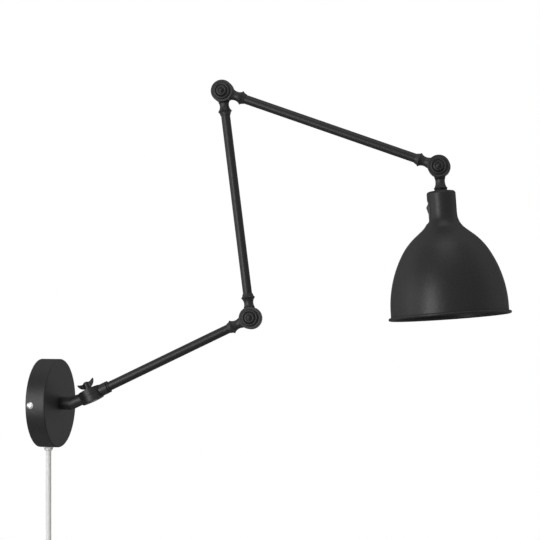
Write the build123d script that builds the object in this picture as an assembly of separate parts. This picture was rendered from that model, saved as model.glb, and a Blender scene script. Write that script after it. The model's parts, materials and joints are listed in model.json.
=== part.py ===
from build123d import *
from math import atan2, ceil, cos, degrees, dist, hypot, pi, radians, sin, sqrt
import os

# An articulating wall lamp: a round wall plate, a bent stub, three tubular arms that
# turn on half-lap knuckles, and a bell shade with a lampholder and a rocker switch.
# Millimetres and degrees. The wall is the plane Y = 0, the lamp stands out along -Y,
# Z is up, and the origin is the centre of the wall plate's back face.

# ---------------------------------------------------------------- wall plate
canopy_diameter = 112.0
canopy_depth = 25.0
canopy_wall = 1.2
canopy_edge_radius = 1.5

bracket_thickness = 2.0
bracket_strap_width = 18.0
bracket_corner_radius = 3.0
tongue_width = 26.0
top_tongue_reach = 40.0
bottom_tongue_reach = 44.0
wall_slot_spacing = 60.0
wall_slot_width = 5.0
wall_slot_length = 9.0
ear_width = 12.0
ear_height = 12.0
ear_clearance = 0.5

canopy_screw_radius = 2.0
canopy_screw_length = 14.0
canopy_screw_head_radius = 4.3
canopy_screw_head_height = 2.2
canopy_screw_cross = (4.4, 1.2)
canopy_screw_from_wall = 6.0
hole_clearance = 0.2

small_screw_radius = 1.5
small_screw_head_radius = 2.7
small_screw_head_height = 2.0
small_screw_cross = (2.6, 1.0)

terminal_width = 20.0
terminal_height = 16.0
terminal_depth = 13.0
terminal_middle = 24.0
terminal_corner_radius = 1.5
terminal_pole_pitch = 10.0
terminal_wire_radius = 1.7
terminal_wire_height = 5.0
terminal_screw_radius = 1.9
terminal_screw_rows = 8.0
terminal_screw_sunk = 1.0
terminal_screw_slot = (0.6, 0.6)

# ---------------------------------------------------------------- mains cord
cord_diameter = 7.0
cord_from_wall = 9.0
conductor_radius = 1.1
conductor_pitch = 2.8
conductor_in_block = 3.0
gland_flange_diameter = 13.2
gland_flange_height = 1.5
gland_tip_diameter = 9.0
gland_cone_height = 4.4
gland_thread_diameter = 10.0
gland_nut_across_flats = 14.0
gland_nut_height = 3.0
clamp_length = 8.0
clamp_width = 22.0
clamp_middle = 32.0
clamp_bar_height = 3.0
clamp_corner_radius = 1.5
clamp_screw_pitch = 15.0
sheath_end_height = 22.0

coil_mean_radius = 36.5
coil_pitch = 7.6
coil_layer_pitch = 7.6
coil_turns_per_layer = 4
coil_middle_drop = 241.0
coil_lead_out = 11.6
tie_width = 10.0
tie_thickness = 1.2
tie_clearance = 0.5

plug_length = 36.0
plug_width = 34.0
plug_face_width = 26.0
plug_thickness = 13.6
plug_widest_at = 15.1
plug_shoulder_width = 14.0
plug_corner_radius = 2.5
plug_edge_radius = 1.5
plug_relief_length = 22.0
plug_relief_root_radius = 5.0
plug_relief_tip_radius = 4.3
plug_pin_spacing = 19.0
plug_pin_radius = 2.0
plug_pin_length = 19.0
plug_pin_tip_radius = 1.2

# ---------------------------------------------------------------- bent stub
stub_diameter = 16.2
stub_length = 14.9
knuckle_reach = 26.5
knuckle_height = 10.8
knuckle_tilt = 26.0
stub_neck_end_diameter = 14.4
stub_bore_radius = 3.2
stub_bore_stop = 1.5
stub_thread_diameter = 10.0
stub_thread_length = 9.0
stub_nut_across_flats = 14.0
stub_nut_height = 3.0
stub_washer_diameter = 22.0
stub_washer_thickness = 1.0

# ---------------------------------------------------------------- knuckles
knuckle_thickness = 16.0
knuckle_gap = 0.3
boss_sunk = 0.2
elbow_diameter = 28.0
base_knuckle_diameter = 29.0
knuckle_edge_radius = 0.8
knuckle_rim_wall = 2.4
knuckle_cheek = 2.4
neck_overlap = 0.4
boss_radius = 5.0
wire_way_margin = 3.0
wire_way_lead = 1.0
seat_clearance = 0.5
pivot_radius = 2.5
running_clearance = 0.05
washer_clearance = 0.1
bolt_head_radius = 5.0
bolt_head_height = 2.8
bolt_head_edge_radius = 1.6
bolt_hex_across_flats = 3.0
bolt_hex_depth = 1.6

cap_radius = 10.8
cap_recess_radius = 12.2
cap_recess_depth = 0.8
cap_height = 8.2
cap_rim_height = 1.1
cap_ball_radius = 2.5
cap_ball_neck_radius = 1.9
cap_thread_depth = 3.2
# Rings of the cap nut, each a point of its profile: radius and height.
cap_outer_crest = (8.9, 2.7)
cap_outer_groove = (7.1, 1.9)
cap_inner_crest = (5.2, 4.2)
cap_inner_groove = (3.4, 3.7)

wing_nut_hub_radius = 4.7
wing_nut_hub_top_radius = 3.3
wing_nut_hub_height = 12.0
wing_nut_span = 22.4
wing_nut_height = 14.0
wing_thickness = 2.0
# Outline of a wing: its foot, the blunt tip's lower corner, its shoulder on the hub, and
# the points its three curved edges pass through.
wing_foot = (4.2, 2.0)
wing_outer_bulge = (8.4, 5.7)
wing_tip_corner = (10.9, 10.0)
wing_tip_bulge = (11.4, 12.0)
wing_inner_bulge = (7.0, 11.4)
wing_shoulder = (2.8, 11.2)
wing_washer_radius = 6.5
wing_washer_thickness = 1.0
swing_bolt_end = 1.5

# ---------------------------------------------------------------- arms
lower_arm_length = 225.5
middle_arm_length = 288.8
upper_arm_length = 290.0
tube_diameter = 11.5
tube_wall = 1.0
socket_depth = 8.0
inner_flex_diameter = 4.4
wire_hole_radius = 2.5

base_collar_diameter = 15.2
base_collar_length = 26.0
base_collar_lip = 1.6
base_collar_groove = 1.2
base_collar_groove_depth = 1.0
base_collar_chamfer = 0.5

neck_root_radius = 6.9
neck_waist_radius = 5.9
neck_waist_at = 19.5
bead_radius = 8.9
bead_at = 25.7
bead_front_length = 1.2
bead_front_drop = 1.1
bead_back_length = 1.6
bead_back_radius = 7.4
neck_end = 31.0
neck_end_radius = 6.2
neck_taper_middle = (29.6, 6.65)

# ---------------------------------------------------------------- rest pose
arm_swing = 7.5
lower_bend = 71.8
upper_bend = -117.2
shade_bend = -66.0

# ---------------------------------------------------------------- lamp head
stem_foot_at = 31.0
stem_foot_height = 0.8
stem_foot_radius = 8.8
stem_bead_at = 27.2
stem_bead_radius = 8.6
stem_groove_radius = 7.7
stem_thread_diameter = 10.0
stem_thread_length = 10.0

shade_neck_radius = 18.0
shade_top_radius = 3.5
shade_wall = 1.0
shade_flare_radius = 25.0
shade_cone_angle = 50.0
shade_shoulder_radius = 80.0
shade_side_angle = 30.0
shade_side_radius = 140.0
shade_mouth_radius = 73.0
shade_mouth_at = 186.0
shade_skirt = 8.2
shade_lip_radius = 1.85
shade_lip_overhang = 1.3

slot_width = 20.0
slot_length = 28.5
slot_corner_radius = 3.0
slot_middle = 56.8

holder_radius = 14.5
holder_cap_length = 7.2
holder_end_at = 90.0
holder_skirt_radius = 12.5
holder_skirt_length = 22.0
holder_top_edge_radius = 1.5
socket_radius = 7.0
socket_length = 22.0
socket_floor_depth = 3.0
socket_shell_wall = 0.5
socket_shell_sunk = 1.0
contact_leaf = (0.6, 3.0, 10.0)
contact_button_radius = 1.8
contact_button_height = 1.4
shade_nut_across_flats = 16.0
shade_nut_height = 3.0

switch_face_at = 16.8
switch_fit = 0.3
rocker_width = 10.0
rocker_length = 11.6
rocker_middle = 52.6
rocker_axle_radius = 1.0
rocker_axle_depth = 2.4
rocker_axle_end = 1.7
rocker_peak = 2.6
rocker_peak_above = 2.0
rocker_edge = 0.5
rocker_back = 3.4
rocker_back_low = 2.4
rocker_keel = 4.0
rocker_gap = 0.6
rocker_pocket_depth = 5.0

# ---------------------------------------------------------------- derived places
cord_radius = cord_diameter / 2
canopy_radius = canopy_diameter / 2
tube_radius = tube_diameter / 2
half_disc = (knuckle_thickness - knuckle_gap) / 2
mitre_out = canopy_depth + stub_length
elbow_neck_root = elbow_diameter / 2 - knuckle_rim_wall + neck_overlap
base_neck_root = base_knuckle_diameter / 2 - knuckle_rim_wall + neck_overlap
chamber_depth = half_disc - knuckle_cheek
chamber_middle = (knuckle_gap + chamber_depth) / 2
wing_washer_seat = knuckle_thickness / 2 + washer_clearance
wing_nut_seat = wing_washer_seat + wing_washer_thickness + washer_clearance
wire_way_end = boss_radius + wire_way_margin
washer_height = knuckle_gap + 2 * boss_sunk - washer_clearance
washer_foot = -knuckle_gap / 2 - boss_sunk

WALL = Plane(origin=(0, 0, 0), x_dir=(1, 0, 0), z_dir=(0, -1, 0)).location
MIN_Z = (Align.CENTER, Align.CENTER, Align.MIN)
MAX_Z = (Align.CENTER, Align.CENTER, Align.MAX)

knuckle_point = Vector(0, -mitre_out - knuckle_reach, knuckle_height)
swing_axis = Axis(
    knuckle_point, Vector(0, sin(radians(knuckle_tilt)), cos(radians(knuckle_tilt)))
)
neck_rise = degrees(atan2(knuckle_height, knuckle_reach))
stub_neck_reach = hypot(knuckle_reach, knuckle_height)


def frame_at_knuckle(swing):
    """Joint frame: X along the lower arm, Y up the swing axis, Z towards the button side."""
    outward = Vector(0, -cos(radians(knuckle_tilt)), sin(radians(knuckle_tilt)))
    outward = outward.rotate(swing_axis, swing)
    side = Vector(-1, 0, 0).rotate(swing_axis, swing)
    return Plane(origin=knuckle_point, x_dir=outward, z_dir=side).location


STUB = frame_at_knuckle(0)
LOWER = frame_at_knuckle(arm_swing)
MIDDLE = LOWER * Location((lower_arm_length, 0, 0), (0, 0, lower_bend))
UPPER = MIDDLE * Location((middle_arm_length, 0, 0), (0, 0, upper_bend))
HEAD = UPPER * Location((upper_arm_length, 0, 0), (0, 0, shade_bend))

# Turns a knuckle half from its own axis (Z) to the swing axis (Y of the joint frame).
ONTO_SWING_AXIS = Rot(-90, 0, 0)
# Turns a front half into a back half, and an arm's root end into its tip end.
BACK = Rot(180, 0, 0)


def at_tip(length):
    return Pos(length, 0, 0) * Rot(0, 0, 180)


# ---------------------------------------------------------------- shared shapes
def rod(radius, start, end):
    """Round rod along X."""
    return Pos(start, 0, 0) * Rot(0, 90, 0) * Cylinder(radius, end - start, align=MIN_Z)


def ring(outer, inner, height):
    return Cylinder(outer, height, align=MIN_Z) - Cylinder(inner, height, align=MIN_Z)


def hexagon(across_flats, height):
    return extrude(RegularPolygon(across_flats / sqrt(3), 6), height)


def rod_between(start, end, radius):
    start, end = Vector(*start), Vector(*end)
    along = end - start
    plane = Plane(origin=start, z_dir=along)
    return plane.location * Cylinder(radius, along.length, align=MIN_Z)


def turned(*edges):
    """Solid of revolution about X from an outline of edges in the XY plane."""
    return revolve(make_face(Curve() + list(edges)), Axis.X)


# ---------------------------------------------------------------- wall plate
def canopy():
    cup = Cylinder(canopy_radius, canopy_depth, align=MIN_Z)
    cup = fillet(cup.edges().group_by(Axis.Z)[-1], canopy_edge_radius)
    cup -= Cylinder(canopy_radius - canopy_wall, canopy_depth - canopy_wall, align=MIN_Z)
    cup -= Cylinder(stub_thread_diameter / 2 + hole_clearance, canopy_depth, align=MIN_Z)
    side_hole = Rot(0, 90, 0) * Cylinder(canopy_screw_radius + hole_clearance, 2 * canopy_diameter)
    cup -= Pos(0, 0, canopy_screw_from_wall) * side_hole
    gland_hole = Cylinder(gland_thread_diameter / 2 + hole_clearance, canopy_diameter, align=MIN_Z)
    gland_hole = Rot(90, 0, 0) * gland_hole
    cup -= Pos(0, 0, cord_from_wall) * gland_hole
    return WALL * cup


ear_face = sqrt((canopy_radius - canopy_wall) ** 2 - (ear_width / 2) ** 2) - ear_clearance


def wall_bracket():
    strap = Box(2 * ear_face, bracket_strap_width, bracket_thickness, align=MIN_Z)
    reach = top_tongue_reach + bottom_tongue_reach
    middle = (top_tongue_reach - bottom_tongue_reach) / 2
    tongues = Pos(0, middle, 0) * Box(tongue_width, reach, bracket_thickness, align=MIN_Z)
    tongues = fillet(tongues.edges().filter_by(Axis.Z), bracket_corner_radius)
    plate = strap + tongues
    for side in (-1, 1):
        slot = extrude(SlotOverall(wall_slot_length, wall_slot_width), bracket_thickness)
        plate -= Pos(side * wall_slot_spacing / 2, 0, 0) * slot
        ear_middle = side * (ear_face - bracket_thickness / 2)
        ear = Box(bracket_thickness, ear_width, ear_height, align=MIN_Z)
        plate += Pos(ear_middle, 0, 0) * ear
    screw_holes = Rot(0, 90, 0) * Cylinder(canopy_screw_radius, canopy_diameter)
    plate -= Pos(0, 0, canopy_screw_from_wall) * screw_holes
    small_hole = Cylinder(small_screw_radius, bracket_thickness, align=MIN_Z)
    for side in (-1, 1):
        plate -= Pos(side * clamp_screw_pitch / 2, -clamp_middle, 0) * small_hole
    plate -= Pos(0, terminal_middle, 0) * small_hole
    return WALL * plate


def cross_recess(size, depth):
    arm = Box(size, size / 4, depth, align=MAX_Z)
    return arm + Rot(0, 0, 90) * arm


def small_screw(length):
    """Cheese-head screw, its head standing on Z = length."""
    head = Cylinder(small_screw_head_radius, small_screw_head_height, align=MIN_Z)
    head -= Pos(0, 0, small_screw_head_height) * cross_recess(*small_screw_cross)
    return Pos(0, 0, length) * head + Cylinder(small_screw_radius, length, align=MIN_Z)


def canopy_screws():
    height = canopy_screw_head_height
    dome_radius = (canopy_screw_head_radius ** 2 + height ** 2) / (2 * height)
    dome = Pos(0, 0, height - dome_radius) * Sphere(dome_radius)
    head = dome & Cylinder(canopy_screw_head_radius, height, align=MIN_Z)
    head -= Pos(0, 0, height) * cross_recess(*canopy_screw_cross)
    screw = head + Cylinder(canopy_screw_radius, canopy_screw_length, align=MAX_Z)
    place = Pos(0, 0, canopy_screw_from_wall)
    left = place * Pos(-canopy_radius, 0, 0) * Rot(0, -90, 0) * screw
    right = place * Pos(canopy_radius, 0, 0) * Rot(0, 90, 0) * screw
    return Compound(children=[WALL * left, WALL * right])


def pole_places():
    return [side * terminal_pole_pitch / 2 for side in (-1, 1)]


def terminal_block():
    block = Box(terminal_width, terminal_height, terminal_depth, align=MIN_Z)
    block = fillet(block.edges().filter_by(Axis.Z), terminal_corner_radius)
    block -= Cylinder(small_screw_radius, terminal_depth, align=MIN_Z)
    for x in pole_places():
        wire_way = Rot(90, 0, 0) * Cylinder(terminal_wire_radius, terminal_height)
        block -= Pos(x, 0, terminal_wire_height) * wire_way
        for y in (-terminal_screw_rows / 2, terminal_screw_rows / 2):
            hole = Cylinder(terminal_screw_radius, terminal_depth, align=MIN_Z)
            block -= Pos(x, y, terminal_wire_height) * hole
    return WALL * Pos(0, terminal_middle, bracket_thickness) * block


def terminal_screws():
    screw_bottom = terminal_wire_height + terminal_wire_radius + hole_clearance
    length = terminal_depth - terminal_screw_sunk - screw_bottom
    slot_across, slot_depth = terminal_screw_slot
    slot = Box(2 * terminal_screw_radius, slot_across, slot_depth, align=MAX_Z)
    screw = Cylinder(terminal_screw_radius, length, align=MIN_Z) - Pos(0, 0, length) * slot
    screws = []
    for x in pole_places():
        for y in (-terminal_screw_rows / 2, terminal_screw_rows / 2):
            place = Pos(x, terminal_middle + y, bracket_thickness + screw_bottom)
            screws.append(WALL * place * screw)
    return Compound(children=screws)


def terminal_fixing_screw():
    return WALL * Pos(0, terminal_middle, 0) * small_screw(bracket_thickness + terminal_depth)


# ---------------------------------------------------------------- mains cord
gland_bottom = canopy_radius + gland_cone_height


def along_cord(solid, height):
    """Stands a solid on the hanging cord's axis, its Z up, at a height in Z."""
    return Pos(0, -cord_from_wall, height) * solid


def cord_gland():
    """Clear gland: a cone below a flange that fits the rim, and a thread up through it."""
    cone = Cone(gland_tip_diameter / 2, gland_flange_diameter / 2, gland_cone_height, align=MAX_Z)
    flange = Cylinder(gland_flange_diameter / 2, gland_flange_height, align=MIN_Z)
    head = Pos(0, 0, -canopy_radius) * (cone + flange)
    head -= Pos(0, cord_from_wall, 0) * Rot(90, 0, 0) * Cylinder(canopy_radius, 2 * canopy_depth)
    thread_length = 2 * gland_nut_height + canopy_wall
    thread = Pos(0, 0, -canopy_radius) * Cylinder(gland_thread_diameter / 2, thread_length, align=MIN_Z)
    gland = head + thread
    gland -= Cylinder(cord_radius + running_clearance, gland_bottom, align=MAX_Z)
    return along_cord(gland, 0)


def cord_gland_nut():
    nut = hexagon(gland_nut_across_flats, gland_nut_height)
    nut -= Cylinder(gland_thread_diameter / 2, gland_nut_height, align=MIN_Z)
    seat = sqrt((canopy_radius - canopy_wall) ** 2 - (gland_nut_across_flats / sqrt(3)) ** 2)
    return along_cord(nut, -seat)


def cord_inner_end():
    sheath = Pos(0, 0, -gland_bottom) * Cylinder(cord_radius, gland_bottom - sheath_end_height, align=MIN_Z)
    return along_cord(sheath, 0)


def cord_conductors():
    """The two insulated wires, from the sheath's end into the terminal block."""
    wires = []
    block_bottom = terminal_middle - terminal_height / 2
    out = bracket_thickness + terminal_wire_height
    for side in (-1, 1):
        start = Vector(side * conductor_pitch / 2, -cord_from_wall, -sheath_end_height)
        end = Vector(side * terminal_pole_pitch / 2, -out, block_bottom)
        along = (end - start).normalized()
        wire = rod_between(start - along, end + along * conductor_in_block, conductor_radius)
        wires.append(wire - cord_inner_end())
    return Compound(children=wires)


clamp_top = cord_from_wall + cord_radius + clamp_bar_height


def cord_clamp():
    height = clamp_top - bracket_thickness
    body = Box(clamp_width, clamp_length, height, align=MIN_Z)
    body = fillet(body.edges().filter_by(Axis.Z), clamp_corner_radius)
    cord_way = Rot(90, 0, 0) * Cylinder(cord_radius, clamp_length)
    body -= Pos(0, 0, cord_from_wall - bracket_thickness) * cord_way
    for side in (-1, 1):
        hole = Cylinder(small_screw_radius, height, align=MIN_Z)
        body -= Pos(side * clamp_screw_pitch / 2, 0, 0) * hole
    return WALL * Pos(0, -clamp_middle, bracket_thickness) * body


def cord_clamp_screws():
    places = [Pos(side * clamp_screw_pitch / 2, -clamp_middle, 0) for side in (-1, 1)]
    return Compound(children=[WALL * place * small_screw(clamp_top) for place in places])


def sweep_tube(edges, radius):
    path = Wire(edges)
    section = Plane(origin=path @ 0, z_dir=path % 0) * Circle(radius)
    return sweep(section, path=path)


coil_outer_radius = coil_mean_radius + coil_turns_per_layer * coil_pitch / 2
coil_centre = Vector(coil_outer_radius, -cord_from_wall, -coil_middle_drop)
coil_top = Vector(0, -cord_from_wall, -coil_middle_drop + cord_diameter)
coil_end = coil_top + Vector(0, -coil_layer_pitch - coil_lead_out, -2 * cord_diameter)
PLUG = Pos(*(coil_end - Vector(0, 0, plug_relief_length)))


def half_turn(start, heading, end):
    """A half turn from start to end as two arcs, even where it climbs a layer."""
    middle = (start + end) / 2 + heading * ((end - start).length / 2)
    first = Edge.make_tangent_arc(start, heading, middle)
    second = Edge.make_tangent_arc(middle, first % 1, end)
    return [first, second]


def coil_edges():
    """Spiral in through one layer, climb a layer in the reversing half turn, spiral out."""
    down, up = Vector(0, 0, -1), Vector(0, 0, 1)
    halves = 2 * coil_turns_per_layer
    place = coil_centre - Vector(coil_outer_radius, 0, 0)
    edges = [Edge.make_line(coil_top, place)]
    for count in range(2 * halves):
        radius = coil_outer_radius - coil_pitch / 2 * (halves - abs(count - halves))
        step = Vector(2 * radius, 0, 0)
        if count % 2:
            step = -step
        if count == halves:
            step += Vector(0, -coil_layer_pitch, 0)
        if count == 2 * halves - 1:
            step += Vector(0, -coil_lead_out, 0)
        edges += half_turn(place, up if count % 2 else down, place + step)
        place += step
    edges.append(Edge.make_line(place, place + down * cord_diameter))
    return edges


def points_along(edges, spacing):
    points = []
    travelled = 0.0
    for edge in edges:
        count = max(2, ceil(edge.length / spacing))
        for i in range(count):
            points.append((travelled + edge.length * i / count, tuple(edge @ (i / count))))
        travelled += edge.length
    return points, travelled


def print_coil_facts(edges):
    points, length = points_along(edges, 2.5)
    least = min(
        dist(p, q)
        for i, (s, p) in enumerate(points)
        for t, q in points[i + 1:]
        if t - s > 4 * cord_diameter
    )
    free = -gland_bottom - coil_top.Z
    print(f"coil: {length:.0f} mm of cord, least gap between turns {least - cord_diameter:.2f} mm")
    print(f"cord: {free:.0f} mm hanging straight, {free + length:.0f} mm in all outside the wall plate")


def cord():
    length = -gland_bottom - coil_top.Z
    return along_cord(Cylinder(cord_radius, length, align=MAX_Z), -gland_bottom)


def cord_coil():
    edges = coil_edges()
    print_coil_facts(edges)
    return sweep_tube(edges, cord_radius)


def cord_tie():
    """Band round the coil's strands at the bottom of its turns."""
    strands = coil_pitch * coil_turns_per_layer + cord_diameter
    layers = coil_layer_pitch + cord_diameter
    inner = RectangleRounded(layers + 2 * tie_clearance, strands + 2 * tie_clearance, cord_radius)
    outer = RectangleRounded(
        layers + 2 * (tie_clearance + tie_thickness),
        strands + 2 * (tie_clearance + tie_thickness),
        cord_radius + tie_thickness,
    )
    band = extrude(outer - inner, tie_width / 2, both=True)
    drop = coil_outer_radius - coil_pitch * coil_turns_per_layer / 2
    middle = coil_centre + Vector(0, -coil_layer_pitch / 2, -drop)
    plane = Plane(origin=middle, x_dir=(0, 1, 0), z_dir=(1, 0, 0))
    return plane.location * band


def plug():
    """Flat two-pin plug body with a tapered cord relief, hanging from the cord's end."""
    shoulder, widest, face = plug_shoulder_width / 2, plug_width / 2, plug_face_width / 2
    outline = Polyline(
        (-shoulder, 0), (shoulder, 0), (widest, -plug_widest_at), (face, -plug_length),
        (-face, -plug_length), (-widest, -plug_widest_at), (-shoulder, 0),
    )
    body = extrude(make_face(outline), plug_thickness / 2, both=True)
    body = fillet(body.edges().filter_by(Axis.Z), plug_corner_radius)
    body = fillet(body.faces().filter_by(Axis.Z).edges(), plug_edge_radius)
    relief = Cone(plug_relief_root_radius, plug_relief_tip_radius, plug_relief_length, align=MIN_Z)
    return PLUG * (Plane.XZ.location * body + relief)


def plug_pins():
    pin = Cylinder(plug_pin_radius, plug_pin_length, align=MAX_Z)
    pin = fillet(pin.edges().group_by(Axis.Z)[0], plug_pin_tip_radius)
    places = [Pos(side * plug_pin_spacing / 2, 0, -plug_length) for side in (-1, 1)]
    return Compound(children=[PLUG * place * pin for place in places])


# ---------------------------------------------------------------- knuckle halves
def knuckle_half(neck, radius):
    """Hollow half-lap disc on the +Z side of the joint plane, cast with a neck along X."""
    start = knuckle_gap / 2
    disc = Cylinder(radius, half_disc, align=MIN_Z)
    disc = fillet(disc.edges().group_by(Axis.Z)[-1], knuckle_edge_radius)
    mate = Cylinder(radius + seat_clearance, knuckle_thickness + start, align=MAX_Z)
    half = Pos(0, 0, start) * disc + (neck - Pos(0, 0, start) * mate)
    chamber = ring(radius - knuckle_rim_wall, boss_radius, chamber_depth)
    chamber += Cylinder(radius - knuckle_rim_wall, boss_sunk, align=MIN_Z)
    half -= Pos(0, 0, start) * chamber
    half -= Cylinder(pivot_radius + running_clearance, 2 * knuckle_thickness)
    return half


def wire_hole(start_along):
    """Slanted hole from a neck's socket into the hollow of its knuckle disc."""
    return rod_between((start_along, 0, 0), (wire_way_end, 0, chamber_middle), wire_hole_radius)


def elbow_neck():
    """Turned neck: root, waist, pointed bead and a taper that ends on the tube."""
    root = (elbow_neck_root, neck_root_radius)
    rim = (elbow_diameter / 2, neck_root_radius)
    bead_front = (bead_at - bead_front_length, bead_radius - bead_front_drop)
    bead_back = (bead_at + bead_back_length, bead_back_radius)
    end = (neck_end, neck_end_radius)
    return turned(
        Line((elbow_neck_root, 0), root),
        Line(root, rim),
        ThreePointArc(rim, (neck_waist_at, neck_waist_radius), bead_front),
        Line(bead_front, (bead_at, bead_radius)),
        Line((bead_at, bead_radius), bead_back),
        ThreePointArc(bead_back, neck_taper_middle, end),
        Line(end, (neck_end, 0)),
        Line((neck_end, 0), (elbow_neck_root, 0)),
    )


elbow_socket_start = neck_end - socket_depth
base_socket_start = base_collar_length - socket_depth


def elbow_end():
    """Cast arm end for a ringed elbow: half disc on +Z, neck and tube socket along +X."""
    end = knuckle_half(elbow_neck(), elbow_diameter / 2)
    end -= rod(tube_radius, elbow_socket_start, neck_end)
    end -= wire_hole(elbow_socket_start + wire_way_lead)
    return end


def front_end():
    """Elbow end with the recess that the ringed cap nut sits in."""
    recess = Cylinder(cap_recess_radius, cap_recess_depth, align=MAX_Z)
    return elbow_end() - Pos(0, 0, knuckle_thickness / 2) * recess


def elbow_bolt():
    """Pivot bolt: low domed head with a hexagon socket behind, shank up into the cap nut."""
    back = -knuckle_thickness / 2 - washer_clearance
    shank_top = knuckle_thickness / 2 - cap_recess_depth + cap_thread_depth
    shank = Pos(0, 0, back) * Cylinder(pivot_radius, shank_top - back, align=MIN_Z)
    head = Cylinder(bolt_head_radius, bolt_head_height, align=MAX_Z)
    head = fillet(head.edges().group_by(Axis.Z)[0], bolt_head_edge_radius)
    socket = Pos(0, 0, -bolt_head_height) * hexagon(bolt_hex_across_flats, bolt_hex_depth)
    return shank + Pos(0, 0, back) * (head - socket)


def friction_washer():
    """Fibre washer between the two bosses of an elbow."""
    washer = ring(boss_radius, pivot_radius + running_clearance, washer_height)
    return Pos(0, 0, washer_foot + washer_clearance) * washer


def cap_nut():
    """Decorative nut: two turned rings stepping up to a ball."""
    rim = (cap_radius, cap_rim_height)
    ball_middle = cap_height - cap_ball_radius
    ball_drop = sqrt(cap_ball_radius ** 2 - cap_ball_neck_radius ** 2)
    ball_root = (cap_ball_neck_radius, ball_middle - ball_drop)
    ball_side = (cap_ball_radius, ball_middle)
    outline = Curve() + [
        Line((0, 0), (cap_radius, 0)),
        Line((cap_radius, 0), rim),
        ThreePointArc(rim, cap_outer_crest, cap_outer_groove),
        ThreePointArc(cap_outer_groove, cap_inner_crest, cap_inner_groove),
        Line(cap_inner_groove, ball_root),
        ThreePointArc(ball_root, ball_side, (0, cap_height)),
        Line((0, cap_height), (0, 0)),
    ]
    nut = revolve(Plane.XZ * make_face(outline), Axis.Z)
    nut -= Cylinder(pivot_radius, cap_thread_depth, align=MIN_Z)
    return Pos(0, 0, knuckle_thickness / 2 - cap_recess_depth) * nut


# ---------------------------------------------------------------- bent stub and wing nut
def elbow_stub():
    """Bent stub: threaded tail, level barrel, rising neck and the lower knuckle half."""
    radius = stub_diameter / 2
    neck_end_at = -base_neck_root
    neck_tip = (neck_end_at, stub_neck_end_diameter / 2)
    corner = (-stub_neck_reach, 0)
    shoulder = (-stub_neck_reach, radius)
    neck = turned(
        Line(corner, shoulder),
        Line(shoulder, neck_tip),
        Line(neck_tip, (neck_end_at, 0)),
        Line((neck_end_at, 0), corner),
    )
    off_lap = Rot(0, neck_rise - knuckle_tilt, 0)
    half = ONTO_SWING_AXIS * BACK * knuckle_half(off_lap * neck, base_knuckle_diameter / 2)
    neck_line = Rot(0, 0, neck_rise - knuckle_tilt)
    bend = neck_line * Pos(-stub_neck_reach, 0, 0)
    level = bend * Rot(0, 0, -neck_rise)
    tail_end = -stub_length - stub_thread_length
    body = half + level * rod(radius, -stub_length, 0) + bend * Sphere(radius)
    body += level * rod(stub_thread_diameter / 2, tail_end, -stub_length)
    body -= level * rod(stub_bore_radius, tail_end, 0)
    bore_end = neck_end_at - stub_bore_stop
    body -= neck_line * rod(stub_bore_radius, -stub_neck_reach, bore_end)
    bore_tip = neck_line * Pos(bore_end - stub_bore_stop, 0, 0)
    chamber_end = (-wire_way_end, -chamber_middle, 0)
    body -= rod_between(bore_tip.position, chamber_end, wire_hole_radius)
    return STUB * (body - ONTO_SWING_AXIS * countersunk_head())


def countersunk_head():
    """Head of the swing bolt, flush with the underside of the base knuckle."""
    depth = bolt_head_radius - pivot_radius
    return Pos(0, 0, -knuckle_thickness / 2) * Cone(bolt_head_radius, pivot_radius, depth, align=MIN_Z)


def swing_bolt():
    """Countersunk bolt through both base halves, its thread standing up into the wing nut."""
    foot = -knuckle_thickness / 2
    top = wing_nut_seat + wing_nut_hub_height + swing_bolt_end
    bolt = Pos(0, 0, foot) * Cylinder(pivot_radius, top - foot, align=MIN_Z) + countersunk_head()
    bolt -= Pos(0, 0, foot) * hexagon(bolt_hex_across_flats, bolt_hex_depth)
    return STUB * ONTO_SWING_AXIS * bolt


def swing_fibre_washer():
    """Fibre washer between the bosses of the base knuckle."""
    washer = ring(boss_radius, pivot_radius + running_clearance, washer_height)
    return STUB * ONTO_SWING_AXIS * Pos(0, 0, washer_foot) * washer


def swing_steel_washer():
    """Steel washer under the wing nut."""
    washer = ring(wing_washer_radius, pivot_radius + running_clearance, wing_washer_thickness)
    return STUB * ONTO_SWING_AXIS * Pos(0, 0, wing_washer_seat) * washer


def wing_nut():
    """Blunt leaf-shaped wings rising from a tapered hub."""
    hub = Cone(wing_nut_hub_radius, wing_nut_hub_top_radius, wing_nut_hub_height, align=MIN_Z)
    foot_height, shoulder_height = wing_foot[1], wing_shoulder[1]
    tip = (wing_nut_span / 2, wing_nut_height)
    leaf = Curve() + [
        Line((0, foot_height), wing_foot),
        ThreePointArc(wing_foot, wing_outer_bulge, wing_tip_corner),
        ThreePointArc(wing_tip_corner, wing_tip_bulge, tip),
        ThreePointArc(tip, wing_inner_bulge, wing_shoulder),
        Line(wing_shoulder, (0, shoulder_height)),
        Line((0, shoulder_height), (0, foot_height)),
    ]
    wing = Plane.XZ.location * extrude(make_face(leaf), wing_thickness / 2, both=True)
    nut = hub + wing + Rot(0, 0, 180) * wing
    nut -= Cylinder(pivot_radius + running_clearance, wing_nut_height, align=MIN_Z)
    return LOWER * ONTO_SWING_AXIS * Pos(0, 0, wing_nut_seat) * nut


def stub_washer():
    out = canopy_depth - canopy_wall - stub_washer_thickness
    washer = ring(stub_washer_diameter / 2, stub_thread_diameter / 2, stub_washer_thickness)
    return WALL * Pos(0, 0, out) * washer


def stub_locknut():
    out = canopy_depth - canopy_wall - stub_washer_thickness - stub_nut_height
    nut = hexagon(stub_nut_across_flats, stub_nut_height)
    nut -= Cylinder(stub_thread_diameter / 2, stub_nut_height, align=MIN_Z)
    return WALL * Pos(0, 0, out) * nut


# ---------------------------------------------------------------- arms
def arm_tube(start, end):
    return rod(tube_radius, start, end) - rod(tube_radius - tube_wall, start, end)


def arm_flex(start, end):
    return rod(inner_flex_diameter / 2, start, end)


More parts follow.
